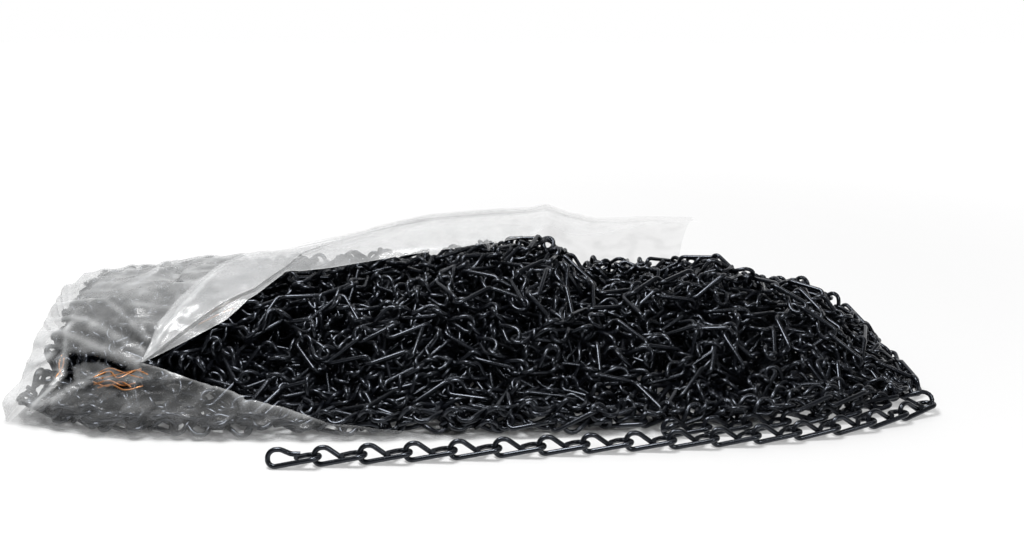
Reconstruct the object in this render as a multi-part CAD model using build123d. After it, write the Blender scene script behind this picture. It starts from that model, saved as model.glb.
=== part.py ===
from build123d import *
import math
import os

# A clear film bag of black single jack chain, lying on its side and slit open.
# The chain spills out as a heap, and one strand is laid out in front of it.
# Millimetres, +Z up, +X towards the spilled end, -Y towards the laid-out strand.
# The origin is the middle of the underside of the whole object's box.

# Chain wire and link
WIRE = 2.7            # wire diameter
PITCH = 23.5          # length that each link adds to a strand
SLACK = 0.2           # play between two hooked wires
LOOP_R = 4.65         # centre-line radius of both loops
LINK_LEN = PITCH + WIRE + SLACK     # centre-line length of one link
HALF = LINK_LEN / 2
NECK_X = 6.6          # where a loop's far side turns in towards the waist
NECK_R = 5.0          # bend radius there
END_R = 4.4           # bend radius at a loop's outer corner
SHANK_R = 3.6         # tighter bend where the loop runs into the straight shank
WAIST_X = 1.8         # where the cut ends meet the shank, past the middle of the link
TAIL_PAST = 0.4       # how far each cut end reaches past that place
OPEN_END = [(3.5, 0, 1.7), (-1.2, 0, 2.0)]     # cut end of the free link's opened loop, lifted off the shank
LEAN = -15.0          # degrees that a link lying on the surface is rolled, its upright loop away from -Y

# Strand laid out on the surface
STRAND_LINKS = 15
STRAND_START = (-127.5, 436.5)      # outer end of the free link, before centring
STRAIGHT_LINKS = 9                  # links before the strand starts to curve
STRAND_HEADING = 5.6                # degrees from +X
STRAND_CURL = 0.5                   # degrees per link squared, after the straight part
TOE_RUN_LINKS = 6                   # links of the second run beside the strand
TOE_RUN_SIDE = 12.9                 # distance between the two runs
TOE_RUN_FIRST = 10                  # strand link that the second run starts beside

# Heap sections, left to right: x, front edge y, back edge y, height
HEAP = [
    (-290, 508, 664, 36),
    (-272, 487, 690, 52),
    (-225, 474, 704, 59),
    (-150, 471, 710, 61),
    (-70, 472, 712, 68),
    (0, 474, 712, 73),
    (24, 475, 712, 75),
    (40, 476, 711, 65),
    (60, 478, 710, 59),
    (85, 480, 708, 57),
    (108, 481.5, 705, 60),
    (135, 484.5, 700, 64),
    (154, 488, 695, 56),
    (174, 493, 688, 56),
    (200, 502, 672, 47),
    (222, 512, 654, 31),
    (240, 521, 632, 12),
    (248, 530, 612, 5),
]
HEAP_POWER = 1.9      # roundness of each section: 2 is a parabola
SECTION_STEPS = [0, 0.07, 0.18, 0.32, 0.5, 0.68, 0.82, 0.93, 1]

# Film of the bag
FILM = 0.8            # modelled thickness
FILM_GAP = 2.0        # film to heap
UPPER_EDGE = [(-212, 0.14), (-191, 0.19), (-171, 0.245), (-157, 0.325), (-143, 0.415), (-115, 0.42),
              (-57, 0.46), (-16, 0.49), (12, 0.53), (37, 0.57), (88, 0.59), (128, 0.62)]
UPPER_GAP = [2, 2, 2, 2, 2.5, 2.5, 2.5, 2.5, 2.5, 9, 23, 22]   # film to heap at the free edge, at the same places
UPPER_BULGE = [0, 1, 3, 3, 4, 8, 18, 20, 21, 22, 16, 13]       # how far the film stands off behind its free edge
LOWER_EDGE = [(-212, 0.135), (-177, 0.092), (-147, 0.068), (-101, 0.036), (-50, 0.015)]
BAND_WIDTH = [0.03, 0.08, 0.1, 0.1, 0.1, 0.1, 0.1, 0.1, 0.09, 0.08, 0.06, 0.03]    # share turned back along it
BAND_GAP = 2.0        # turned-back band to the flap under it
END_PLAY = 0.3        # between the sleeve and the end wall, so that the two panels don't meet
SLEEVE_STATIONS = [-290, -272, -225, -212.6]
END_SEAL_LEN = 9.0
END_SEAL_WIDTH = 96.0
END_SEAL_Z = 9.0
FLOOR_MARGIN = 9.0    # film beyond the heap's footprint
BOTTOM_OUTLINE = [
    (-292, 502), (-272, 478), (-225, 474 - FLOOR_MARGIN), (-40, 472 - FLOOR_MARGIN), (90, 490), (150, 560),
    (150, 680), (120, 712), (20, 712 + FLOOR_MARGIN), (-225, 704 + FLOOR_MARGIN), (-272, 694), (-292, 674),
]

# Copper-coloured tie wires between film and chain
TIE_D = 1.0
TIE_BEND = 3.0
TIES = [
    [(-240, 0.105), (-232, 0.118), (-224, 0.107), (-216, 0.121), (-208, 0.113)],
    [(-239, 0.088), (-230, 0.1), (-221, 0.09), (-213, 0.098)],
    [(-266, 0.158), (-265, 0.13), (-261, 0.105)],
]


def lerp_table(table, x):
    """Value at x in rows of (x, value, ...), straight between rows."""
    for low, high in zip(table, table[1:]):
        if x <= high[0] or high is table[-1]:
            t = (x - low[0]) / (high[0] - low[0])
            return [a + (b - a) * t for a, b in zip(low[1:], high[1:])]


def heap_point(x, s, gap=0.0):
    """Point of the heap's section at x, moved out from its surface by gap."""
    front, back, height = lerp_table(HEAP, x)
    width = back - front

    def surface(u):
        return front + u * width, FILM + height * (1 - abs(2 * u - 1) ** HEAP_POWER)

    step = 0.002
    y0, z0 = surface(max(s - step, 0))
    y1, z1 = surface(min(s + step, 1))
    run = math.hypot(y1 - y0, z1 - z0)
    y, z = surface(s)
    return Vector(x, y - gap * (z1 - z0) / run, z + gap * (y1 - y0) / run)


def heap_section(x):
    points = [heap_point(x, s) for s in SECTION_STEPS]
    return make_face([Spline(*points), Line(points[-1], points[0])])


def make_heap():
    return loft([heap_section(row[0]) for row in HEAP], ruled=True)


def film_section(x, start, end, gap):
    """Closed thin section of film from start to end across the heap; gap(s) is its height over the heap."""
    steps = [start + (end - start) * u for u in SECTION_STEPS]
    inner = [heap_point(x, s, gap(s)) for s in steps]
    outer = [heap_point(x, s, gap(s) + FILM) for s in steps]
    return make_face([Spline(*inner), Line(inner[-1], outer[-1]),
                      Spline(*reversed(outer)), Line(outer[0], inner[0])])


def close_gap(s):
    return FILM_GAP


def standing_gap(start, edge_gap, bulge):
    """Height of the upper flap over the heap: edge_gap at its free edge, down to FILM_GAP at its foot."""
    def gap(s):
        u = (s - start) / (1 - start)
        return edge_gap * (1 - u) + FILM_GAP * u + bulge * 4 * u * (1 - u)
    return gap


def make_sleeve():
    return loft([film_section(x, 0, 1, close_gap) for x in SLEEVE_STATIONS], ruled=True)


def make_upper_flap():
    sections = []
    for (x, start), edge_gap, bulge in zip(UPPER_EDGE, UPPER_GAP, UPPER_BULGE):
        sections.append(film_section(x, start, 1, standing_gap(start, edge_gap, bulge)))
    return loft(sections, ruled=True)


def make_turned_edge():
    sections = []
    for (x, start), edge_gap, bulge, width in zip(UPPER_EDGE, UPPER_GAP, UPPER_BULGE, BAND_WIDTH):
        under = standing_gap(start, edge_gap, bulge)
        sections.append(film_section(x, start, start + width, lambda s: under(s) + FILM + BAND_GAP))
    return loft(sections, ruled=True)


def make_lower_flap():
    return loft([film_section(x, 0, s, close_gap) for x, s in LOWER_EDGE], ruled=True)


def make_end_wall():
    x = HEAP[0][0]
    points = [heap_point(x, s, FILM_GAP + FILM) for s in SECTION_STEPS]
    face = make_face([Spline(*points), Line(points[-1], points[0])])
    return Pos(-END_PLAY, 0, 0) * extrude(face, amount=FILM, dir=(-1, 0, 0))


def make_end_seal():
    front, back, _ = lerp_table(HEAP, HEAP[0][0])
    x = HEAP[0][0] - END_PLAY - FILM - END_SEAL_LEN / 2
    return Pos(x, (front + back) / 2, END_SEAL_Z) * Box(END_SEAL_LEN, END_SEAL_WIDTH, FILM)


def make_bottom_panel():
    return extrude(make_face(Polyline(*BOTTOM_OUTLINE, close=True)), amount=FILM)


def make_tie(route):
    points = [heap_point(x, s, FILM_GAP / 2) for x, s in route]
    path = FilletPolyline(*points, radius=TIE_BEND)
    return sweep(Plane(path @ 0, z_dir=path % 0) * Circle(TIE_D / 2), path=path)


def make_link(opened=False):
    """One link: loop A stands upright at -X, loop B lies flat at +X, one straight shank."""
    along = (WAIST_X + HALF) / (2 * HALF)
    shank_y, shank_z = -LOOP_R * along, -LOOP_R * (1 - along)
    points = [
        (WAIST_X + TAIL_PAST, shank_y + WIRE, shank_z),
        (-NECK_X, 0, LOOP_R),
        (-HALF, 0, LOOP_R),
        (-HALF, 0, -LOOP_R),
        (HALF, -LOOP_R, 0),
        (HALF, LOOP_R, 0),
        (NECK_X, LOOP_R, 0),
        (WAIST_X - TAIL_PAST, shank_y, shank_z + WIRE),
    ]
    radii = [NECK_R, END_R, SHANK_R, SHANK_R, END_R, NECK_R]
    if opened:
        points[0:1] = OPEN_END
        radii[0:0] = [NECK_R]
    path = FilletPolyline(*points, radius=radii)
    return sweep(Plane(path @ 0, z_dir=path % 0) * Circle(WIRE / 2), path=path)


def strand_headings():
    past = [max(0, i - STRAIGHT_LINKS) for i in range(1, STRAND_LINKS + 2)]
    return [STRAND_HEADING + STRAND_CURL * n * n for n in past]


def strand_layout():
    """Centre and heading of each strand link and of the toe link that holds the strand."""
    links = []
    x, y = STRAND_START
    x += WIRE / 2
    for heading in strand_headings():
        ux, uy = math.cos(math.radians(heading)), math.sin(math.radians(heading))
        links.append((x + HALF * ux, y + HALF * uy, heading))
        x, y = x + PITCH * ux, y + PITCH * uy
    return links


def place(solid, x, y, heading, height):
    return Pos(x, y, height) * Rot(0, 0, heading) * Rot(LEAN, 0, 0) * solid


def main():
    os.makedirs("parts", exist_ok=True)
    plain = make_link()
    opened = make_link(opened=True)
    height = -(Rot(LEAN, 0, 0) * plain).bounding_box().min.Z
    layout = strand_layout()

    nodes = {"chain_heap": make_heap(), "bag_sleeve": make_sleeve(), "bag_upper_flap": make_upper_flap(),
             "bag_turned_edge": make_turned_edge(), "bag_lower_flap": make_lower_flap(),
             "bag_end_wall": make_end_wall(), "bag_end_seal": make_end_seal(),
             "bag_bottom_panel": make_bottom_panel()}
    for i, route in enumerate(TIES, 1):
        nodes[f"tie_wire_{i}"] = make_tie(route)
    for i, (x, y, heading) in enumerate(layout[:-1], 1):
        nodes[f"link_{i:02d}"] = place(opened if i == 1 else plain, x, y, heading, height)
    nodes["toe_link"] = place(plain, *layout[-1], height)
    for i in range(TOE_RUN_LINKS):
        x, y, heading = layout[TOE_RUN_FIRST - 1 + i]
        side = math.radians(heading + 90)
        x, y = x + TOE_RUN_SIDE * math.cos(side), y + TOE_RUN_SIDE * math.sin(side)
        nodes[f"toe_run_{i + 1}"] = place(plain, x, y, heading, height)

    boxes = [solid.bounding_box() for solid in nodes.values()]
    low = [min(tuple(box.min)[i] for box in boxes) for i in range(3)]
    high = [max(tuple(box.max)[i] for box in boxes) for i in range(3)]
    centre = Pos(-(low[0] + high[0]) / 2, -(low[1] + high[1]) / 2, 0)
    for name, solid in nodes.items():
        export_step(centre * solid, f"parts/{name}.step")
    print("size", [round(b - a, 2) for a, b in zip(low, high)], "low z", low[2], "shift", centre.position)
    print("wire in one link", round(plain.volume / (math.pi * WIRE ** 2 / 4), 2), "height", round(height, 3))
    for i, (x, y, heading) in enumerate(layout, 1):
        c = centre.position
        print("link", i, round(x + c.X, 3), round(y + c.Y, 3), round(heading, 3))


main()
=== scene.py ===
import math

import bmesh
import bpy
import numpy as np
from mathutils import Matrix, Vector


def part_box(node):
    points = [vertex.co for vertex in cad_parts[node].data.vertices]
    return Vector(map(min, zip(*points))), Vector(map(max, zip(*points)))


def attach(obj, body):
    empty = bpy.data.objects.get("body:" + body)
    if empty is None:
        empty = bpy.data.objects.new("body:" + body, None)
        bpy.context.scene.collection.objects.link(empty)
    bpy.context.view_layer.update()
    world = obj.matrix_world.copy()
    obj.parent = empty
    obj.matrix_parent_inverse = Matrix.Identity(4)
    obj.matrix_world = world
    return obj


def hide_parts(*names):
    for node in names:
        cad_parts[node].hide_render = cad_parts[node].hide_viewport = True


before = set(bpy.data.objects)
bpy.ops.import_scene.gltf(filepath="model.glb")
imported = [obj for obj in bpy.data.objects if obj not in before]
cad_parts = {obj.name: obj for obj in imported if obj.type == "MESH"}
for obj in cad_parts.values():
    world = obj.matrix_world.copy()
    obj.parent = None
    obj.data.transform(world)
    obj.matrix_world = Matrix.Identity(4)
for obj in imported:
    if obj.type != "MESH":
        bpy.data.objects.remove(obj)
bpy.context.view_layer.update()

# Metres. Chain, as in the CAD: one link of wire with two loops at right angles
WIRE = 0.0027                   # wire diameter
PITCH = 0.0235                  # length that each link adds to a strand
SLACK = 0.0002                  # play between two hooked wires
LOOP_R = 0.00465                # centre-line radius of both loops
HALF = (PITCH + WIRE + SLACK) / 2
NECK_X = 0.0066                 # where a loop's far side turns in towards the waist
NECK_R = 0.005                  # bend radii: there, at a loop's outer corner, and where it meets the shank
END_R = 0.0044
SHANK_R = 0.0036
WAIST_X = 0.0018                # where the cut ends meet the shank
TAIL_PAST = 0.0004              # how far each cut end reaches past that place
LEAN = math.radians(-15)        # roll of a link that lies on the surface
LYING_Z = 0.005029              # height of its axis

# Heap outline from the low corner of the chain_heap box: x, front y, back y, height
HEAP = np.array([
    (0.000, 0.037, 0.193, 0.036), (0.018, 0.016, 0.219, 0.052), (0.065, 0.003, 0.233, 0.059),
    (0.140, 0.000, 0.239, 0.061), (0.220, 0.001, 0.241, 0.068), (0.290, 0.003, 0.241, 0.073),
    (0.314, 0.004, 0.241, 0.075), (0.330, 0.005, 0.240, 0.065), (0.350, 0.007, 0.239, 0.059),
    (0.375, 0.009, 0.237, 0.057), (0.398, 0.0105, 0.234, 0.060), (0.425, 0.0135, 0.229, 0.064),
    (0.444, 0.017, 0.224, 0.056), (0.464, 0.022, 0.217, 0.056), (0.490, 0.031, 0.201, 0.047),
    (0.512, 0.041, 0.183, 0.031), (0.530, 0.050, 0.161, 0.012), (0.538, 0.059, 0.141, 0.005),
])
HEAP_POWER = 1.9
heap_low = np.array(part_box("chain_heap")[0])    # origin of the heap's own frame

# Pile
STRANDS = (("toe_link", 1, 1440), ("toe_run_6", 1, 800), ("toe_run_1", -1, 760))    # from node, side, links
LINKS_PER_PIECE = 300
FILM_TOP = 0.0012               # height that the lowest links lie at, on the bag's bottom film
END_MARGIN = 0.011              # how near to the closed end and to the toe a hook may lie
TOE_MARGIN = 0.004
HOOK_DEPTH = 0.0022             # least depth of a hook under the heap's surface, and height over its base
HOOK_HEIGHT = 0.0042
START_DEPTH = 0.003             # the same depth before the pile settles
CROWD = 0.0125                  # how far off a placed hook still repels a new one
TRIES = 26                      # places tried for each new hook
RECENT = 30                     # hooks of its own strand that a new one avoids
ROUNDS = 90                     # steps of settling, and of the last correction of the links' length
LAST_ROUNDS = 40
SPACING = 0.0088                # least distance that hooks and link middles of the pile push apart to
SINK = 0.0001                   # drop at each step
TIGHTEST = 0.85 * PITCH         # least distance between hooks two links apart
TWIST = 0.5                     # spread of the turn from one link to the next, in radians
FRONT_SPILL = 0.002             # how far past the heap's front edge a hook may lie
TOE_X = 0.4                     # past this x the pile spills further,
TOE_SPILL = 0.005               # as far as this
BACK_PLAY = 0.003               # how near to its back edge a hook may lie
FOOT = 0.014                    # within this of those edges the heap is as high as it is there


# ---------------------------------------------------------------- materials

def new_material(name):
    material = bpy.data.materials.new(name)
    material.use_nodes = True
    nodes = material.node_tree.nodes
    return material, nodes, material.node_tree.links, nodes["Principled BSDF"]


def noise(nodes, links, scale, detail=4.0, rough=0.55, vector=None):
    node = nodes.new("ShaderNodeTexNoise")
    node.inputs["Scale"].default_value = scale
    node.inputs["Detail"].default_value = detail
    node.inputs["Roughness"].default_value = rough
    if vector:
        links.new(vector, node.inputs["Vector"])
    return node


def ramp(nodes, links, factor, stops):
    node = nodes.new("ShaderNodeValToRGB")
    links.new(factor, node.inputs["Fac"])
    elements = node.color_ramp.elements
    while len(elements) < len(stops):
        elements.new(0.5)
    for element, (place, value) in zip(elements, stops):
        element.position = place
        element.color = value if len(value) == 4 else (*value, 1.0)
    return node


def bump(nodes, links, height, strength, distance, shader):
    node = nodes.new("ShaderNodeBump")
    node.inputs["Strength"].default_value = strength
    node.inputs["Distance"].default_value = distance
    links.new(height, node.inputs["Height"])
    links.new(node.outputs["Normal"], shader.inputs["Normal"])
    return node


def black_wire_material():
    """Steel wire with a thin black finish: bluish sheen, faint draw lines, small worn spots."""
    material, nodes, links, shader = new_material("black_wire")
    place = nodes.new("ShaderNodeTexCoord").outputs["Object"]
    cloud = noise(nodes, links, 90.0, 3.0, 0.5, place)
    grain = noise(nodes, links, 1400.0, 5.0, 0.6, place)
    dark, light = (0.0016, 0.0018, 0.0024), (0.004, 0.0045, 0.0065)
    tint = ramp(nodes, links, cloud.outputs["Fac"], [(0.3, dark), (0.7, light)])
    links.new(tint.outputs["Color"], shader.inputs["Base Color"])
    rough = ramp(nodes, links, grain.outputs["Fac"], [(0.25, (0.18,) * 3), (0.75, (0.3,) * 3)])
    links.new(rough.outputs["Color"], shader.inputs["Roughness"])
    shader.inputs["Specular IOR Level"].default_value = 0.55
    shader.inputs["Specular Tint"].default_value = (0.8, 0.87, 1.0, 1.0)
    bump(nodes, links, grain.outputs["Fac"], 0.25, 0.00008, shader)
    return material


def copper_material():
    """Thin coppered wire, dull where it has tarnished."""
    material, nodes, links, shader = new_material("copper_wire")
    place = nodes.new("ShaderNodeTexCoord").outputs["Object"]
    cloud = noise(nodes, links, 160.0, 4.0, 0.6, place)
    grain = noise(nodes, links, 2200.0, 3.0, 0.5, place)
    tarnished, bright = (0.26, 0.1, 0.035), (0.55, 0.25, 0.09)
    tint = ramp(nodes, links, cloud.outputs["Fac"], [(0.3, tarnished), (0.7, bright)])
    links.new(tint.outputs["Color"], shader.inputs["Base Color"])
    rough = ramp(nodes, links, cloud.outputs["Fac"], [(0.3, (0.5,) * 3), (0.7, (0.28,) * 3)])
    links.new(rough.outputs["Color"], shader.inputs["Roughness"])
    shader.inputs["Metallic"].default_value = 0.6
    bump(nodes, links, grain.outputs["Fac"], 0.2, 0.00005, shader)
    return material


def clear_film_material():
    """Thin polythene: almost clear, a little hazy, whiter where it is creased or doubled."""
    material, nodes, links, shader = new_material("clear_film")
    place = nodes.new("ShaderNodeTexCoord").outputs["Object"]
    cloud = noise(nodes, links, 55.0, 4.0, 0.6, place)
    crinkle = noise(nodes, links, 260.0, 5.0, 0.65, place)
    # the alpha comes from a stored field that holds the film's haze and also painted light: glare where it
    # faces up, glint on the links, and shade under the heap
    haze_and_painted_light = nodes.new("ShaderNodeAttribute")
    haze_and_painted_light.attribute_name = "haze_and_painted_light"
    change = ramp(nodes, links, cloud.outputs["Fac"], [(0.3, (0.8,) * 3), (0.7, (1.25,) * 3)])
    alpha = nodes.new("ShaderNodeMath")
    alpha.operation = "MULTIPLY"
    alpha.use_clamp = True
    links.new(haze_and_painted_light.outputs["Fac"], alpha.inputs[0])
    links.new(change.outputs["Color"], alpha.inputs[1])
    links.new(alpha.outputs["Value"], shader.inputs["Alpha"])
    dull, pale = (0.5, 0.51, 0.515), (0.58, 0.585, 0.59)
    tint = ramp(nodes, links, cloud.outputs["Fac"], [(0.3, dull), (0.7, pale)])
    links.new(tint.outputs["Color"], shader.inputs["Base Color"])
    rough = ramp(nodes, links, crinkle.outputs["Fac"], [(0.3, (0.2,) * 3), (0.7, (0.38,) * 3)])
    links.new(rough.outputs["Color"], shader.inputs["Roughness"])
    shader.inputs["Specular IOR Level"].default_value = 0.5
    shader.inputs["Coat Weight"].default_value = 0.4
    shader.inputs["Coat Roughness"].default_value = 0.12
    bump(nodes, links, crinkle.outputs["Fac"], 0.4, 0.0004, shader)
    return material


# ---------------------------------------------------------------- chain

def fillet(points, radii, step=0.35):
    """Points along a polyline whose inner corners are rounded; step is the turn per point, in radians."""
    out = [np.array(points[0], float)]
    for before, corner, after, radius in zip(points, points[1:], points[2:], radii):
        a, c, b = (np.array(p, float) for p in (before, corner, after))
        u, v = (a - c) / np.linalg.norm(a - c), (b - c) / np.linalg.norm(b - c)
        turn = math.pi - math.acos(float(np.clip(u @ v, -1, 1)))
        run = radius * math.tan(turn / 2)
        bisector = (u + v) / np.linalg.norm(u + v)
        centre = c + bisector * radius / math.cos(turn / 2)
        start, end = c + u * run - centre, c + v * run - centre
        count = max(2, round(turn / step))
        for k in range(count + 1):
            angle = turn * k / count
            out.append(centre + (start * math.sin(turn - angle) + end * math.sin(angle)) / math.sin(turn))
    out.append(np.array(points[-1], float))
    return np.array(out)


def link_path():
    """Centre line of a link: loop A stands upright at -X, loop B lies flat at +X, one straight shank."""
    along = (WAIST_X + HALF) / (2 * HALF)
    shank_y, shank_z = -LOOP_R * along, -LOOP_R * (1 - along)
    points = [
        (WAIST_X + TAIL_PAST, shank_y + WIRE, shank_z), (-NECK_X, 0, LOOP_R), (-HALF, 0, LOOP_R),
        (-HALF, 0, -LOOP_R), (HALF, -LOOP_R, 0), (HALF, LOOP_R, 0), (NECK_X, LOOP_R, 0),
        (WAIST_X - TAIL_PAST, shank_y, shank_z + WIRE),
    ]
    return fillet(points, [NECK_R, END_R, SHANK_R, SHANK_R, END_R, NECK_R])


def spread_along(path, step):
    """Points every step along a polyline."""
    runs = np.linalg.norm(np.diff(path, axis=0), axis=1)
    length = np.concatenate([[0], np.cumsum(runs)])
    places = np.arange(0, length[-1], step)
    return np.stack([np.interp(places, length, path[:, k]) for k in range(3)], 1)


def tube(path, radius, sides=8):
    """Vertices and faces of a round tube along path, closed at both ends with a small dome."""
    tangents = np.gradient(path, axis=0)
    tangents /= np.linalg.norm(tangents, axis=1)[:, None]
    normal = np.cross(tangents[0], (0.3, 0.5, 0.8))
    normal /= np.linalg.norm(normal)
    rings = []
    for point, tangent in zip(path, tangents):
        normal = normal - tangent * (normal @ tangent)
        normal /= np.linalg.norm(normal)
        other = np.cross(tangent, normal)
        turn = np.arange(sides) * 2 * math.pi / sides
        rings.append(point + radius * (np.cos(turn)[:, None] * normal + np.sin(turn)[:, None] * other))
    dome = radius * 0.35
    verts = np.concatenate(rings + [path[:1] - tangents[:1] * dome, path[-1:] + tangents[-1:] * dome])
    faces = []
    last = len(path) - 1
    for k in range(last):
        for j in range(sides):
            a, b = k * sides + j, k * sides + (j + 1) % sides
            faces += [(a, b, b + sides), (a, b + sides, a + sides)]
    tip, tail = len(path) * sides, len(path) * sides + 1
    for j in range(sides):
        faces.append((tip, (j + 1) % sides, j))
        faces.append((tail, last * sides + j, last * sides + (j + 1) % sides))
    return verts, np.array(faces)


def mesh_object(name, verts, faces, material, smooth=True):
    mesh = bpy.data.meshes.new(name)
    mesh.vertices.add(len(verts))
    mesh.vertices.foreach_set("co", np.asarray(verts, np.float32).ravel())
    sides = faces.shape[1]
    mesh.loops.add(faces.size)
    mesh.loops.foreach_set("vertex_index", faces.ravel().astype(np.int32))
    mesh.polygons.add(len(faces))
    mesh.polygons.foreach_set("loop_start", np.arange(len(faces), dtype=np.int32) * sides)
    mesh.polygons.foreach_set("use_smooth", np.full(len(faces), smooth))
    mesh.update()
    mesh.validate()
    obj = bpy.data.objects.new(name, mesh)
    bpy.context.scene.collection.objects.link(obj)
    mesh.materials.append(material)
    return obj


# ---------------------------------------------------------------- pile of chain

def heap_section(x):
    """Front, back and height of the heap at x, from its box's low corner."""
    return [np.interp(x, HEAP[:, 0], HEAP[:, column]) for column in (1, 2, 3)]


def heap_top(x, y):
    front, back, height = heap_section(x)
    across = np.clip((y - front) / (back - front), 0, 1)
    return height * (1 - np.abs(2 * across - 1) ** HEAP_POWER)


def confine(points, depth):
    """Points moved into the heap, at least depth below its surface."""
    x = np.clip(points[:, 0], END_MARGIN, HEAP[-1, 0] - TOE_MARGIN)
    front, back, _ = heap_section(x)
    spill = np.where(x > TOE_X, TOE_SPILL, FRONT_SPILL)
    y = np.clip(points[:, 1], front - spill, back - BACK_PLAY)
    top = heap_top(x, np.clip(y, front + FOOT, back - FOOT)) - depth
    return np.stack([x, y, np.clip(points[:, 2], HOOK_HEIGHT, np.maximum(top, HOOK_HEIGHT))], 1)


def wander(rng, starts, counts):
    """Strands of hook points that fill the heap evenly: each step goes where few points lie."""
    placed = np.zeros((0, 3))
    strands = []
    for start, count in zip(starts, counts):
        points = [np.array(start, float)]
        heading = np.array((-0.6, 0.8, 0.3))
        for _ in range(count):
            tries = rng.normal(size=(TRIES, 3)) * (1, 1, 0.9)
            tries = tries / np.linalg.norm(tries, axis=1)[:, None] + heading * 0.25
            tries = points[-1] + tries / np.linalg.norm(tries, axis=1)[:, None] * PITCH
            inside = confine(tries, START_DEPTH)
            others = np.vstack([placed, points[-RECENT:]])
            squares = ((inside[:, None, :] - others[None, :, :]) ** 2).sum(2)
            crowd = np.exp(-squares / (2 * CROWD ** 2)).sum(1)
            score = crowd + np.linalg.norm(tries - inside, axis=1) / 0.004 + rng.random(len(tries)) * 0.25
            best = inside[int(np.argmin(score))]
            heading = (best - points[-1]) / max(np.linalg.norm(best - points[-1]), 1e-6)
            points.append(best)
        strands.append(np.array(points))
        placed = np.vstack([placed, strands[-1]])
    return strands


def neighbours(points, reach):
    """Index pairs of points closer than reach, found on a grid."""
    cell = np.floor((points - points.min(0)) / reach).astype(np.int64) + 1
    size = cell.max(0) + 2
    key = cell[:, 0] + size[0] * (cell[:, 1] + size[1] * cell[:, 2])
    order = np.argsort(key, kind="stable")
    ordered = key[order]
    firsts, seconds = [], []
    for dz in (0, 1):
        for dy in (-1, 0, 1):
            for dx in (-1, 0, 1):
                if (dz, dy, dx) < (0, 0, 0):
                    continue
                offset = dx + size[0] * (dy + size[1] * dz)
                low = np.searchsorted(ordered, key + offset, side="left")
                count = np.searchsorted(ordered, key + offset, side="right") - low
                i = np.repeat(np.arange(len(points)), count)
                begin = np.repeat(np.cumsum(count) - count, count)
                j = order[np.repeat(low, count) + np.arange(len(i)) - begin]
                keep = ((points[i] - points[j]) ** 2).sum(1) < reach * reach
                if offset == 0:
                    keep &= i < j
                firsts.append(i[keep])
                seconds.append(j[keep])
    return np.concatenate(firsts), np.concatenate(seconds)


def hold_length(p, a, b, length, stiffness, only_longer=False):
    """Move points a and b of p towards that distance from each other, or only apart."""
    delta = p[b] - p[a]
    distance = np.linalg.norm(delta, axis=1) + 1e-9
    error = distance - length
    if only_longer:
        error = np.minimum(error, 0)
    fix = delta * (error / distance * 0.5 * stiffness)[:, None]
    np.add.at(p, a, fix)
    np.add.at(p, b, -fix)


def settle(strands):
    """The pile: strands keep their length, push each other apart, bend only so far and sink under gravity."""
    sizes = [len(s) for s in strands]
    p = np.vstack(strands)
    owner = np.repeat(np.arange(len(strands)), sizes)
    first = np.cumsum([0] + sizes[:-1])
    link = np.nonzero(owner[:-1] == owner[1:])[0]
    bend = np.nonzero(owner[:-2] == owner[2:])[0]
    anchor = p[first].copy()
    order = np.concatenate([np.arange(len(p)) + 0.0, link + 0.5])
    order += 1000 * np.concatenate([owner, owner[link]])
    for step in range(ROUNDS):
        p[:, 2] -= SINK
        q = np.concatenate([p, (p[link] + p[link + 1]) / 2])
        if step % 4 == 0:
            a, b = neighbours(q, SPACING * 1.35)
            apart = np.abs(order[a] - order[b]) > 1.1
            a, b = a[apart], b[apart]
        delta = q[a] - q[b]
        distance = np.linalg.norm(delta, axis=1) + 1e-9
        push = delta / distance[:, None] * (np.clip(SPACING - distance, 0, None) * 0.35)[:, None]
        force = np.zeros_like(q)
        np.add.at(force, a, push)
        np.add.at(force, b, -push)
        p += force[:len(p)]
        np.add.at(p, link, force[len(p):] * 0.7)
        np.add.at(p, link + 1, force[len(p):] * 0.7)
        for _ in range(3):
            hold_length(p, link, link + 1, PITCH, 0.8)
            hold_length(p, bend, bend + 2, TIGHTEST, 0.8, only_longer=True)
        p = confine(p, HOOK_DEPTH)
        p[first] = anchor
    for step in range(LAST_ROUNDS):
        hold_length(p, link, link + 1, PITCH, 1.0)
        if step < LAST_ROUNDS - 10:
            p = confine(p, HOOK_DEPTH)
        p[:, 2] = np.maximum(p[:, 2], HOOK_HEIGHT)
        p[first] = anchor
    return np.split(p, first[1:])


def turn_between(a, b):
    """Rotation matrix that takes unit vector a to unit vector b by the shortest turn."""
    return np.array(Vector(a).rotation_difference(Vector(b)).to_matrix())


def strand_frames(points, up, rng, backwards=False):
    """Centre and axes of each link between hook points. Axes are columns: along, loop B side, loop A side."""
    centres, frames = [], []
    along = points[1] - points[0]
    along /= np.linalg.norm(along)
    up = up - along * (up @ along)
    up /= np.linalg.norm(up)
    for a, b in zip(points, points[1:]):
        new = (b - a) / np.linalg.norm(b - a)
        up = turn_between(along, new) @ up
        angle = rng.normal() * TWIST
        up = up * math.cos(angle) + np.cross(new, up) * math.sin(angle)
        up = up - new * (up @ new)
        up /= np.linalg.norm(up)
        along = new
        x = -new if backwards else new
        frames.append(np.stack([x, np.cross(up, x), up], 1))
        centres.append((a + b) / 2)
    return centres, frames


def link_place(node):
    """Centre and direction of a CAD link that lies on the surface."""
    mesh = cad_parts[node].data
    points = np.array([v.co[:] for v in mesh.vertices])
    axes = np.linalg.svd((points - points.mean(0))[:, :2], full_matrices=False)[2]
    u = axes[0] if axes[0][0] > 0 else -axes[0]
    run = points[:, :2] @ u
    side = np.array((-u[1], u[0]))
    lean = points[:, :2] @ side
    ring = run > run.max() - 0.004
    middle = (lean[ring].max() + lean[ring].min()) / 2
    centre = u * (run.max() + run.min()) / 2 + side * middle
    up = (-math.sin(LEAN) * side[0], -math.sin(LEAN) * side[1], math.cos(LEAN))
    return np.array((*centre, LYING_Z)), np.array((*u, 0.0)), np.array(up)


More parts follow.
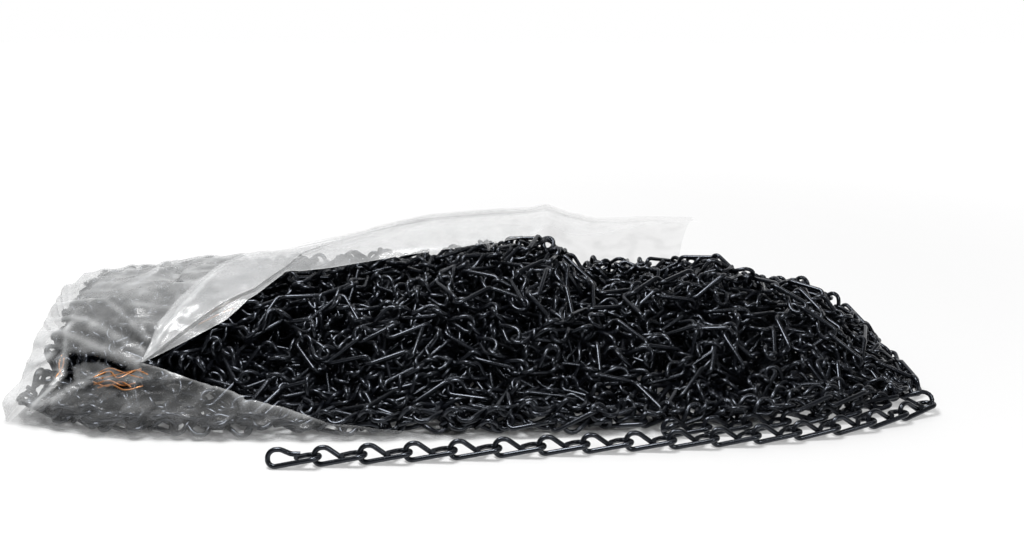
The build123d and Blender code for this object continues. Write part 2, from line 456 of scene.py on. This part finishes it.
def make_pile(material):
    """The pile, in pieces of many links. Returns points along every wire, in the heap's own frame."""
    rng = np.random.default_rng(11)
    hook = HALF - (WIRE + SLACK) / 2
    starts, ups = [], []
    for node, side, _ in STRANDS:
        centre, u, up = link_place(node)
        starts.append(centre + u * hook * side - heap_low)
        ups.append(up)
    strands = settle(wander(rng, starts, [count for _, _, count in STRANDS]))
    path = link_path()
    template, faces = tube(path, WIRE / 2)
    probe = spread_along(path, 0.001)
    centres, frames = [], []
    for strand, up, (_, side, _) in zip(strands, ups, STRANDS):
        c, f = strand_frames(strand + heap_low, up, rng, side < 0)
        centres += c
        frames += f
    pieces, points = [], []
    for begin in range(0, len(centres), LINKS_PER_PIECE):
        c = np.array(centres[begin:begin + LINKS_PER_PIECE])
        f = np.array(frames[begin:begin + LINKS_PER_PIECE])
        verts = np.einsum("nij,vj->nvi", f, template) + c[:, None, :]
        lift = np.maximum(0, FILM_TOP - verts[:, :, 2].min(1))
        verts[:, :, 2] += lift[:, None]
        inside = np.einsum("nij,vj->nvi", f, probe) + c[:, None, :] - heap_low
        inside[:, :, 2] += lift[:, None]
        points.append(inside.reshape(-1, 3))
        all_faces = (faces[None] + np.arange(len(c))[:, None, None] * len(template)).reshape(-1, 3)
        piece = mesh_object(f"heap_chain_{len(pieces) + 1:02d}", verts.reshape(-1, 3), all_faces, material)
        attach(piece, "root")
        pieces.append(piece)
    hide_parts("chain_heap")
    return np.concatenate(points)


# ---------------------------------------------------------------- film bag

# The film is a polar grid: rows go along x, columns turn from the front over the top to the back, and
# values are radii, in metres in the heap's own frame, whose origin is the low corner of its box. "across"
# is the share of the way over the heap, front to back. The tables below give lengths in millimetres and
# turn them into metres.
MIDDLE = 0.118                  # y of the line that the grid turns about
FILM_STEP = 0.0015
FILM_X = np.arange(0.0, 0.4185, FILM_STEP)
FILM_ANGLE = np.linspace(0, math.pi, 200)
ANGLE_STEP = FILM_ANGLE[1]
MEAN_R = 0.09                   # mean radius, which turns an angle on that grid into a length
ARC = 0.283                     # length of the curve across the heap
BALL = 0.05                     # radius of the ball rolled over the links to find the taut film
BALL_REACH = 0.024
CLEARANCE = 0.0006              # film to the highest wires
FLOOR_Z = 0.0008                # lowest height of the film's sides
END_X = 0.004                   # where the bag's closed end begins to turn in, and how far it goes beyond
END_DEPTH = 0.006
PLEAT_HEIGHT = 0.0012
NOTCH_X = 0.078                 # where the slit begins
BOTTOM_END = 0.44               # x of the open end of the bag's bottom
BOTTOM_MARGIN = 0.004           # how far the bottom shows in front of the heap and behind it
PAINTED_SHADE_FADE = 0.009              # over this distance round the heap's foot the bottom film turns hazy, a painted shade of the floor under the pile
TIE_D = 0.001
# Upper film, slit open and standing off the chain: x, across, height at its free edge, bulge behind it
UPPER = np.array([
    (78, 0.14, 1.0, 0), (99, 0.19, 1.5, 1), (119, 0.245, 2.0, 3), (133, 0.325, 2.0, 3),
    (147, 0.415, 2.5, 4), (175, 0.42, 2.5, 8), (233, 0.46, 2.5, 18), (274, 0.49, 2.5, 20),
    (302, 0.53, 2.5, 21), (327, 0.57, 9.0, 22), (378, 0.59, 23.0, 16), (418, 0.62, 22.0, 13),
]) * (0.001, 1, 0.001, 0.001)
# Edge of the lower film, and pleat and loose edge of the strip turned back along the slit: x, across
LOWER = np.array([(78, 0.14), (113, 0.092), (143, 0.068), (189, 0.036), (245, 0.008), (262, 0)]) * (0.001, 1)
PLEAT = np.array([
    (78, 0.14), (95, 0.208), (111, 0.272), (132, 0.34), (147, 0.43), (155, 0.49), (186, 0.544), (220, 0.576),
    (291, 0.612), (319, 0.644), (378, 0.66), (418, 0.68),
]) * (0.001, 1)
LOOSE = np.array([
    (78, 0.145), (81, 0.25), (89, 0.328), (105, 0.468), (125, 0.56), (147, 0.62), (175, 0.67), (233, 0.7),
    (302, 0.72), (378, 0.71), (418, 0.69),
]) * (0.001, 1)
# Creases near the closed end: points (x, across), width and height in millimetres, and whiteness, which is
# negative where the film is clearer
CREASES = [
    ([(24, 0.18), (44, 0.135), (70, 0.11)], 9.0, 0.0, -0.12),
    ([(24, 0.14), (30, 0.115), (50, 0.12)], 8.0, 0.0, -0.1),
    ([(0, 0.2), (12, 0.24), (30, 0.208), (48, 0.18), (78, 0.14)], 3.2, 1.2, 0.33),
    ([(21, 0.26), (28, 0.11)], 2.2, 1.0, 0.35),
    ([(28, 0.11), (22, 0.045)], 1.6, 1.5, 0.5),
    ([(52, 0.112), (22, 0.05)], 2.2, 1.2, 0.3),
    ([(4, 0.3), (30, 0.27), (78, 0.16)], 2.5, 1.0, 0.28),
    ([(6, 0.36), (40, 0.33), (76, 0.2)], 2.0, 0.8, 0.22),
    ([(2, 0.12), (14, 0.16)], 3.0, 1.0, 0.4),
    ([(78, 0.14), (86, 0.22), (104, 0.4)], 2.0, 0.8, 0.3),
]


def surface_point(x, across, gap=0.0):
    """y and z of the heap's surface at x, moved out by gap."""
    front, back, height = heap_section(x)

    def surface(u):
        return front + u * (back - front), height * (1 - np.abs(2 * u - 1) ** HEAP_POWER)

    y0, z0 = surface(np.maximum(across - 0.002, 0))
    y1, z1 = surface(np.minimum(across + 0.002, 1))
    run = np.hypot(y1 - y0, z1 - z0)
    y, z = surface(across)
    return y - gap * (z1 - z0) / run, z + gap * (y1 - y0) / run


def polar(y, z):
    """Angle and radius of a point about the grid's line."""
    return np.arctan2(z, MIDDLE - y), np.hypot(z, MIDDLE - y)


def fading(distance, width):
    """1 where the distance is 0, down to nothing over about two widths."""
    return np.exp(-(distance / width) ** 2)


def shifted(grid, shift, axis):
    """The grid moved by some cells along an axis, with its border repeated."""
    count = grid.shape[axis]
    return np.take(grid, np.clip(np.arange(count) - shift, 0, count - 1), axis=axis)


def roll_over(grid, ball, outward):
    """Radius that a ball rolled over the grid leaves: outward raises dips, otherwise tops come down."""
    for axis, step in ((0, FILM_STEP), (1, ANGLE_STEP * MEAN_R)):
        best = grid.copy()
        for k in range(1, int(BALL_REACH / step)):
            change = (k * step) ** 2 / (2 * ball)
            for shift in (-k, k):
                moved = shifted(grid, shift, axis)
                best = np.maximum(best, moved - change) if outward else np.minimum(best, moved + change)
        grid = best
    return grid


def smooth(grid, times):
    for _ in range(times):
        for axis in (0, 1):
            grid = (shifted(grid, 1, axis) + 2 * grid + shifted(grid, -1, axis)) / 4
    return grid


def film_over_links(points):
    """Radius of a film drawn over the links, and how nearly it touches them, on the polar grid; the second
    marks where the bag is whiter on links, partly a painted glint.
    """
    angle, radius = polar(points[:, 1], points[:, 2])
    radius = radius + WIRE / 2
    i = np.round(points[:, 0] / FILM_STEP).astype(int)
    j = np.round(angle / ANGLE_STEP).astype(int)
    keep = (i >= 0) & (i < len(FILM_X)) & (j >= 0) & (j < len(FILM_ANGLE))
    raw = np.zeros((len(FILM_X), len(FILM_ANGLE)))
    np.maximum.at(raw, (i[keep], j[keep]), radius[keep])
    for row, x in enumerate(FILM_X):
        across = np.linspace(0, 1, 120)
        nominal = np.interp(FILM_ANGLE, *polar(*surface_point(x, across)))
        raw[row] = np.maximum(raw[row], nominal - 0.006)
    close = smooth(roll_over(roll_over(raw, BALL, True), BALL, False), 2)
    least = raw.copy()
    for axis in (0, 1):
        least = np.maximum(least, np.maximum(shifted(least, 1, axis), shifted(least, -1, axis)))
    close = np.maximum(close, least + 0.0002)
    touch_and_glint = fading(close - least, 0.0009)
    return close + CLEARANCE, smooth(touch_and_glint, 1)


def stand_off(close):
    """The same grid with the upper film lifted to its own shape behind the slit."""
    lifted = close.copy()
    for row, x in enumerate(FILM_X):
        if x <= NOTCH_X:
            continue
        start, edge, bulge = [np.interp(x, UPPER[:, 0], UPPER[:, k]) for k in (1, 2, 3)]
        u = np.linspace(0, 1, 120)
        gap = edge * (1 - u) + 0.002 * u + bulge * 4 * u * (1 - u)
        angle, radius = polar(*surface_point(x, start + (1 - start) * u, gap))
        lifted[row] = np.maximum(close[row], np.interp(FILM_ANGLE, angle, radius))
    return smooth(lifted, 2)


def crease_lines(rng):
    """Creases of the bag: the ones at the closed end and many small seeded ones, all along the film."""
    lines = []
    for points, width, height, white in CREASES:
        lines.append(([(x / 1000, across) for x, across in points], width / 1000, height / 1000, white))
    for _ in range(90):
        x, across = rng.uniform(0.005, 0.1), rng.uniform(0.02, 0.95)
        length, slope = rng.uniform(0.012, 0.05), rng.normal() * 0.25
        dx, ds = length * math.cos(slope), length * math.sin(slope) / ARC
        bend = rng.normal() * 0.012
        points = [(x, across), (x + dx / 2, across + ds / 2 + bend), (x + dx, across + ds)]
        lines.append((points, rng.uniform(0.0015, 0.003), rng.uniform(-0.0007, 0.0009), rng.uniform(0, 0.16)))
    for _ in range(26):
        x, across = rng.uniform(0.13, 0.34), rng.uniform(0.45, 0.95)
        length = rng.uniform(0.05, 0.16)
        points = [(x, across), (x + length, across + rng.normal() * 0.03 + length * 0.25)]
        lines.append((points, rng.uniform(0.002, 0.0045), rng.uniform(-0.001, 0.0014), rng.uniform(0, 0.12)))
    return lines


def crease_fields(lines):
    """Lift and whiteness that the creases add on the polar grid."""
    across = np.zeros((len(FILM_X), len(FILM_ANGLE)))
    share = np.linspace(0, 1, 200)
    for row, x in enumerate(FILM_X):
        across[row] = np.interp(FILM_ANGLE, polar(*surface_point(x, share))[0], share)
    x, arc = FILM_X[:, None] + 0 * across, across * ARC
    lift, white, clear = (np.zeros_like(across) for _ in range(3))
    for points, width, height, whiteness in lines:
        distance = np.full(across.shape, 1.0)
        for (x0, s0), (x1, s1) in zip(points, points[1:]):
            dx, da = x1 - x0, (s1 - s0) * ARC
            t = np.clip(((x - x0) * dx + (arc - s0 * ARC) * da) / (dx * dx + da * da), 0, 1)
            distance = np.minimum(distance, np.hypot(x - x0 - t * dx, arc - s0 * ARC - t * da))
        bell = fading(distance, width)
        lift += height * bell
        white = np.maximum(white, whiteness * bell)
        clear = np.minimum(clear, whiteness * bell)
    return lift, np.where(white > 0.02, white, clear)


def sample(grid, x, angle):
    """Values of the grid at places between its cells."""
    i = np.clip(x / FILM_STEP, 0, len(FILM_X) - 1.001)
    j = np.clip(angle / ANGLE_STEP, 0, len(FILM_ANGLE) - 1.001)
    i0, j0 = i.astype(int), j.astype(int)
    fi, fj = i - i0, j - j0
    top = grid[i0, j0] * (1 - fj) + grid[i0, j0 + 1] * fj
    low = grid[i0 + 1, j0] * (1 - fj) + grid[i0 + 1, j0 + 1] * fj
    return top * (1 - fi) + low * fi


def edge_angle(x, table, gap=0.0015):
    """Angle of a table's edge at x."""
    return polar(*surface_point(x, np.interp(x, table[:, 0], table[:, 1]), gap))[0]


def grid_faces(columns, rows, offset=0):
    k = np.arange(columns - 1)[:, None] * rows + np.arange(rows - 1)[None, :] + offset
    k = k.ravel()
    return np.stack([k, k + rows, k + rows + 1, k + 1], 1)


def film_points(x, angle, radius):
    """Frame coordinates of film at x, angle and radius."""
    y = MIDDLE - radius * np.cos(angle)
    z = np.maximum(radius * np.sin(angle), FLOOR_Z)
    return np.stack([x + 0 * radius, y, z], -1) + heap_low


def film_object(name, verts, faces, haze_and_painted_light, material):
    """A piece of film whose haze, from 0 for clear to 1 for white, is stored at its points; on the bag and
    its bottom that store also carries painted glare, glint and shade.
    """
    film = mesh_object(name, verts, faces, material)
    layer = film.data.attributes.new("haze_and_painted_light", "FLOAT", "POINT")
    layer.data.foreach_set("value", np.asarray(haze_and_painted_light, np.float32))
    work = bmesh.new()
    work.from_mesh(film.data)
    bmesh.ops.remove_doubles(work, verts=work.verts, dist=1e-5)
    work.to_mesh(film.data)
    work.free()
    film.data.polygons.foreach_set("use_smooth", np.ones(len(film.data.polygons), bool))
    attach(film, "root")
    return film


def thinning(x):
    """Share of its haze, and of the painted glare it carries, that the upper film keeps towards the open end,
    where it is one smooth layer.
    """
    return np.interp(x, [0.12, 0.2, 0.3, 0.418], [1, 0.62, 0.3, 0.1])


def film_haze_and_painted_light(x, angle, radius, white, touch_and_glint):
    """Haze of the bag: more at the closed end, at its foot and on creases; more where it faces up, a painted
    glare of the top light; and more on links, partly stretched film and partly a painted glint.
    """
    # painted light: the film is made hazier, so whiter, where it faces up, for the top light and glare on the
    # upper film
    painted_top_glare = 0.06 + 0.33 * np.clip((angle - 0.4) / 0.6, 0, 1) * thinning(x)
    end = 0.33 * np.clip(1.2 - x / 0.03, 0, 1)
    foot = 0.3 * np.clip(1.3 - radius * np.sin(angle) / 0.006, 0, 1)
    haze_and_painted_light = np.maximum(np.maximum(painted_top_glare, end), foot) + sample(white, x, angle) * thinning(x)
    # on links the film is whiter: partly the whitening of film stretched over wire, partly a painted glint
    # along the wires
    return haze_and_painted_light + 0.07 * sample(touch_and_glint, x, angle)


def closed_end(angle, radius, haze_and_painted_light):
    """Columns of film that turn in from the first one to a gathered, pleated point."""
    turn = np.linspace(math.pi / 2, 0, 14)[:-1]
    end_x = END_X - END_DEPTH * np.sin(turn)
    scale = np.cos(turn) ** 0.6
    scale[0] = 0
    fold = np.sin(2 * turn)[:, None]
    pleats = PLEAT_HEIGHT * np.sin(angle * 17 + 4 * np.sin(angle * 5))[None, :]
    x = end_x[:, None] + pleats * fold
    points = film_points(x, angle[None, :] + 0 * x, radius[None, :] * scale[:, None])
    return points, haze_and_painted_light[None, :] + 0.06 * fold * pleats / PLEAT_HEIGHT


def make_film(close, lifted, white, touch_and_glint, columns, material):
    """The bag from its closed end on: lower film up to the slit, and upper film from the slit to the back."""
    notch = edge_angle(NOTCH_X, UPPER)
    parts, faces, haze_and_painted_light_parts, offset = [], [], [], 0
    for upper, grid, rows in ((False, close, 60), (True, lifted, 150)):
        used = columns if upper else columns[columns <= LOWER[-1, 0]]
        edge = np.where(used > NOTCH_X, edge_angle(used, UPPER if upper else LOWER), notch)[:, None]
        u = np.linspace(0, 1, rows)[None, :]
        angle = edge + (math.pi - edge) * u if upper else edge * u
        x = used[:, None] + 0 * angle
        radius = sample(grid, x, angle)
        haze_and_painted_light = film_haze_and_painted_light(x, angle, radius, white, touch_and_glint)
        cut = np.where(x > NOTCH_X, 0.3, 0) * thinning(x)
        haze_and_painted_light = haze_and_painted_light + cut * fading((angle - edge) * MEAN_R, 0.001)
        end, end_haze_and_painted_light = closed_end(angle[0], radius[0], haze_and_painted_light[0])
        verts = np.concatenate([end, film_points(x, angle, radius)])
        parts.append(verts.reshape(-1, 3))
        haze_and_painted_light_parts.append(np.concatenate([end_haze_and_painted_light, haze_and_painted_light]).ravel())
        faces.append(grid_faces(len(verts), rows, offset))
        offset += verts.shape[0] * rows
    verts, faces, haze_and_painted_light = (np.concatenate(part) for part in (parts, faces, haze_and_painted_light_parts))
    film = film_object("bag_film", verts, faces, haze_and_painted_light, material)
    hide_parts("bag_sleeve", "bag_upper_flap", "bag_lower_flap", "bag_end_wall", "bag_end_seal")


def make_turned_strip(lifted, white, material):
    """Strip along the slit, turned back over the film and pleated once."""
    used = FILM_X[FILM_X >= NOTCH_X]
    edge, pleat, loose = (edge_angle(used, table)[:, None] for table in (UPPER, PLEAT, LOOSE))
    loose = np.maximum(loose, edge + 0.01)
    pleat = np.clip(pleat, edge + 0.003, loose - 0.003)
    u = np.linspace(0, 1, 36)[None, :]
    passes = [(edge, loose, 0.0), (loose, pleat, 0.0008), (pleat, loose, 0.0016)]
    angle = np.concatenate([a + (b - a) * u for a, b, _ in passes], 1)
    gap = np.concatenate([low + 0.0008 * u + 0 * a for a, b, low in passes], 1)
    belly = np.sin(math.pi * np.clip((angle - edge) / (loose - edge), 0, 1)) * 0.0016
    x = used[:, None] + 0 * angle
    haze_and_painted_light = 0.27 + np.maximum(sample(white, x, angle), 0)
    haze_and_painted_light = (haze_and_painted_light + 0.35 * fading((angle - pleat) * MEAN_R, 0.0016)) * thinning(x)
    verts = film_points(x, angle, sample(lifted, x, angle) + gap + belly).reshape(-1, 3)
    band = film_object("bag_turned_strip", verts, grid_faces(*angle.shape), haze_and_painted_light.ravel(), material)
    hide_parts("bag_turned_edge")


def make_bottom(close, lifted, columns, material):
    """Bottom of the bag, flat on the surface and slightly wavy at its edges; under the heap it is made hazy
    as painted shade.
    """
    x = np.concatenate([columns, np.arange(columns[-1], BOTTOM_END, FILM_STEP)[1:]])
    wave = 0.0012 * np.sin(x * 90) + 0.0008 * np.sin(x * 237 + 1)
    heap_front, heap_back, _ = heap_section(x)
    front = MIDDLE - sample(close, x, 0 * x)
    back = MIDDLE + sample(lifted, x, 0 * x + math.pi)
    front = np.where(x > LOWER[-2, 0], np.minimum(front, heap_front - BOTTOM_MARGIN + wave), front)
    back = np.where(x > UPPER[-1, 0], heap_back + BOTTOM_MARGIN + wave, back)
    x, heap_front, heap_back = x[:, None], heap_front[:, None], heap_back[:, None]
    y = front[:, None] + (back - front)[:, None] * np.linspace(0, 1, 60)[None, :]
    x = x + 0 * y
    z = 0.0004 + 0.0002 * np.sin(x * 140 + y * 60) + 0.0002 * np.sin(x * 71 - y * 190 + 2)
    # painted shade: under the heap the film is made almost opaque, so it shows dark like the shadowed floor
    # beneath the pile
    painted_shade = np.clip(np.minimum(np.minimum(y - heap_front, heap_back - y) + PAINTED_SHADE_FADE, x) / PAINTED_SHADE_FADE, 0, 1)
    haze_and_painted_light = 0.2 + 0.7 * painted_shade
    verts = (np.stack([x, y, z], -1) + heap_low * (1, 1, 0)).reshape(-1, 3)
    base = film_object("bag_bottom_film", verts, grid_faces(*y.shape), haze_and_painted_light.ravel(), material)
    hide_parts("bag_bottom_panel")


def make_bag(link_points, material):
    """The bag's three pieces of film. Returns the radius of the film that lies on the links."""
    close, touch_and_glint = film_over_links(link_points)
    lifted = stand_off(close)
    lift, white = crease_fields(crease_lines(np.random.default_rng(5)))
    close, lifted = close + np.maximum(lift, 0), lifted + np.maximum(lift, -0.0004)
    columns = FILM_X[FILM_X >= END_X]
    make_film(close, lifted, white, touch_and_glint, columns, material)
    make_turned_strip(lifted, white, material)
    make_bottom(close, lifted, columns, material)
    return close


# ---------------------------------------------------------------- tie wires

# Strands of each tie: points (x in millimetres, across)
TIES = {
    "tie_wire_1": [
        [(50, 0.105), (58, 0.118), (66, 0.107), (74, 0.121), (82, 0.113)],
        [(51, 0.112), (57, 0.125), (65, 0.118), (73, 0.11), (80, 0.106)],
        [(52, 0.1), (60, 0.108), (68, 0.116), (77, 0.125)],
        [(103, 0.24), (112, 0.262), (122, 0.285)], [(108, 0.27), (118, 0.3), (128, 0.33)]],
    "tie_wire_2": [
        [(51, 0.088), (60, 0.1), (69, 0.09), (77, 0.098)],
        [(50, 0.094), (59, 0.086), (67, 0.098), (75, 0.09)],
        [(54, 0.082), (62, 0.09), (72, 0.083), (81, 0.09)]],
    "tie_wire_3": [
        [(24, 0.158), (25, 0.13), (29, 0.105)], [(27, 0.15), (27.5, 0.125), (26, 0.1)]],
}


def curve_through(points, per_span=8):
    """Smooth points through a few points, by Catmull-Rom."""
    p = np.array([2 * points[0] - points[1], *points, 2 * points[-1] - points[-2]])
    out = []
    for a, b, c, d in zip(p, p[1:], p[2:], p[3:]):
        for t in np.arange(per_span) / per_span:
            out.append(0.5 * (2 * b + (c - a) * t + (2 * a - 5 * b + 4 * c - d) * t * t
                              + (3 * b - a - 3 * c + d) * t ** 3))
    return np.array(out + [p[-2]])


def make_ties(close, material):
    """Copper-coloured tie wires just under the film, whose radii are in close."""
    for name, strands in TIES.items():
        verts, faces, count = [], [], 0
        for points in strands:
            route = []
            for x, across in points:
                angle = polar(*surface_point(x / 1000, across, 0.001))[0]
                radius = sample(close, np.array([x / 1000]), np.array([angle]))[0] - 0.0009
                route.append((x / 1000, MIDDLE - radius * math.cos(angle), radius * math.sin(angle)))
            v, f = tube(curve_through(np.array(route)), TIE_D / 2)
            verts.append(v + heap_low)
            faces.append(f + count)
            count += len(v)
        piece = mesh_object(f"{name}_strands", np.concatenate(verts), np.concatenate(faces), material)
        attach(piece, "root")
        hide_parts(name)


# ---------------------------------------------------------------- stage, lights and camera

WHITE = (1, 1, 1, 1)
FLOOR_REACH = 20                # how far the floor goes each way
FLOOR_GREY = 0.45
# Floor's emission by distance in metres
GLOW = (("From Min", 0.2), ("From Max", 1.5), ("To Min", 0.3), ("To Max", 1.0))
WALL_Y = 2.6
WALL_REACH = 8
WALL_TOP = 4
CAMERA_PLACE = (0.02605, -0.57718, 0.248)
CAMERA_ABOVE = 18               # degrees above the horizon
CAMERA_LENS = 33.4              # focal length in millimetres on a sensor 36 mm wide


def stage_panel(name, corners, material):
    panel = mesh_object(name, np.array(corners, float), np.array([(0, 1, 2, 3)]), material, smooth=False)


def make_stage():
    """A pale floor that glows more with distance, and a glowing white wall behind it."""
    material, nodes, links, shader = new_material("floor")
    shader.inputs["Base Color"].default_value = (FLOOR_GREY, FLOOR_GREY, FLOOR_GREY, 1)
    shader.inputs["Roughness"].default_value = 0.6
    shader.inputs["Emission Color"].default_value = WHITE
    distance = nodes.new("ShaderNodeVectorMath")
    distance.operation = "LENGTH"
    links.new(nodes.new("ShaderNodeTexCoord").outputs["Object"], distance.inputs[0])
    glow = nodes.new("ShaderNodeMapRange")
    for socket, value in GLOW:
        glow.inputs[socket].default_value = value
    links.new(distance.outputs["Value"], glow.inputs["Value"])
    links.new(glow.outputs["Result"], shader.inputs["Emission Strength"])
    r = FLOOR_REACH
    stage_panel("floor", [(-r, -r, 0), (r, -r, 0), (r, r, 0), (-r, r, 0)], material)
    material, nodes, links, shader = new_material("wall")
    shader.inputs["Base Color"].default_value = (0, 0, 0, 1)
    shader.inputs["Specular IOR Level"].default_value = 0.0
    shader.inputs["Emission Color"].default_value = WHITE
    shader.inputs["Emission Strength"].default_value = 1.0
    low, high, r = -0.01, WALL_TOP, WALL_REACH
    corners = [(-r, WALL_Y, low), (r, WALL_Y, low), (r, WALL_Y, high), (-r, WALL_Y, high)]
    stage_panel("wall", corners, material)


def area_light(name, place, target, size, power, size_y=None):
    """A rectangular light at place that faces target."""
    data = bpy.data.lights.new(name, "AREA")
    data.energy = power
    data.shape = "RECTANGLE"
    data.size = size
    data.size_y = size_y or size
    obj = bpy.data.objects.new(name, data)
    obj.location = place
    obj.rotation_euler = (Vector(target) - Vector(place)).to_track_quat("-Z", "Y").to_euler()
    bpy.context.scene.collection.objects.link(obj)


def make_light():
    """Soft boxes above and in front, and a little fill from all round."""
    world = bpy.data.worlds.new("studio")
    world.use_nodes = True
    background = world.node_tree.nodes["Background"]
    background.inputs["Color"].default_value = WHITE
    background.inputs["Strength"].default_value = 0.14
    bpy.context.scene.world = world
    area_light("top_box", (-0.2, -0.1, 0.9), (0, 0.02, 0), 0.42, 11, 0.3)
    area_light("front_box", (0.45, -0.8, 0.8), (0, 0, 0), 0.25, 3.5)
    bpy.context.scene.view_settings.view_transform = "Standard"


def make_camera():
    """Half a metre in front of the strand, looking down at it."""
    data = bpy.data.cameras.new("camera")
    data.sensor_width = 36.0
    data.lens = CAMERA_LENS
    data.clip_start = 0.01
    camera = bpy.data.objects.new("camera", data)
    camera.location = CAMERA_PLACE
    camera.rotation_euler = (math.radians(90 - CAMERA_ABOVE), 0, 0)
    bpy.context.scene.collection.objects.link(camera)
    bpy.context.scene.camera = camera


# ---------------------------------------------------------------- the whole scene

black = black_wire_material()
for name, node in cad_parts.items():
    if name.startswith(("link_", "toe_")):
        node.data.materials.clear()
        node.data.materials.append(black)
link_points = make_pile(black)
film_radius = make_bag(link_points, clear_film_material())
make_ties(film_radius, copper_material())
make_stage()
make_light()
make_camera()
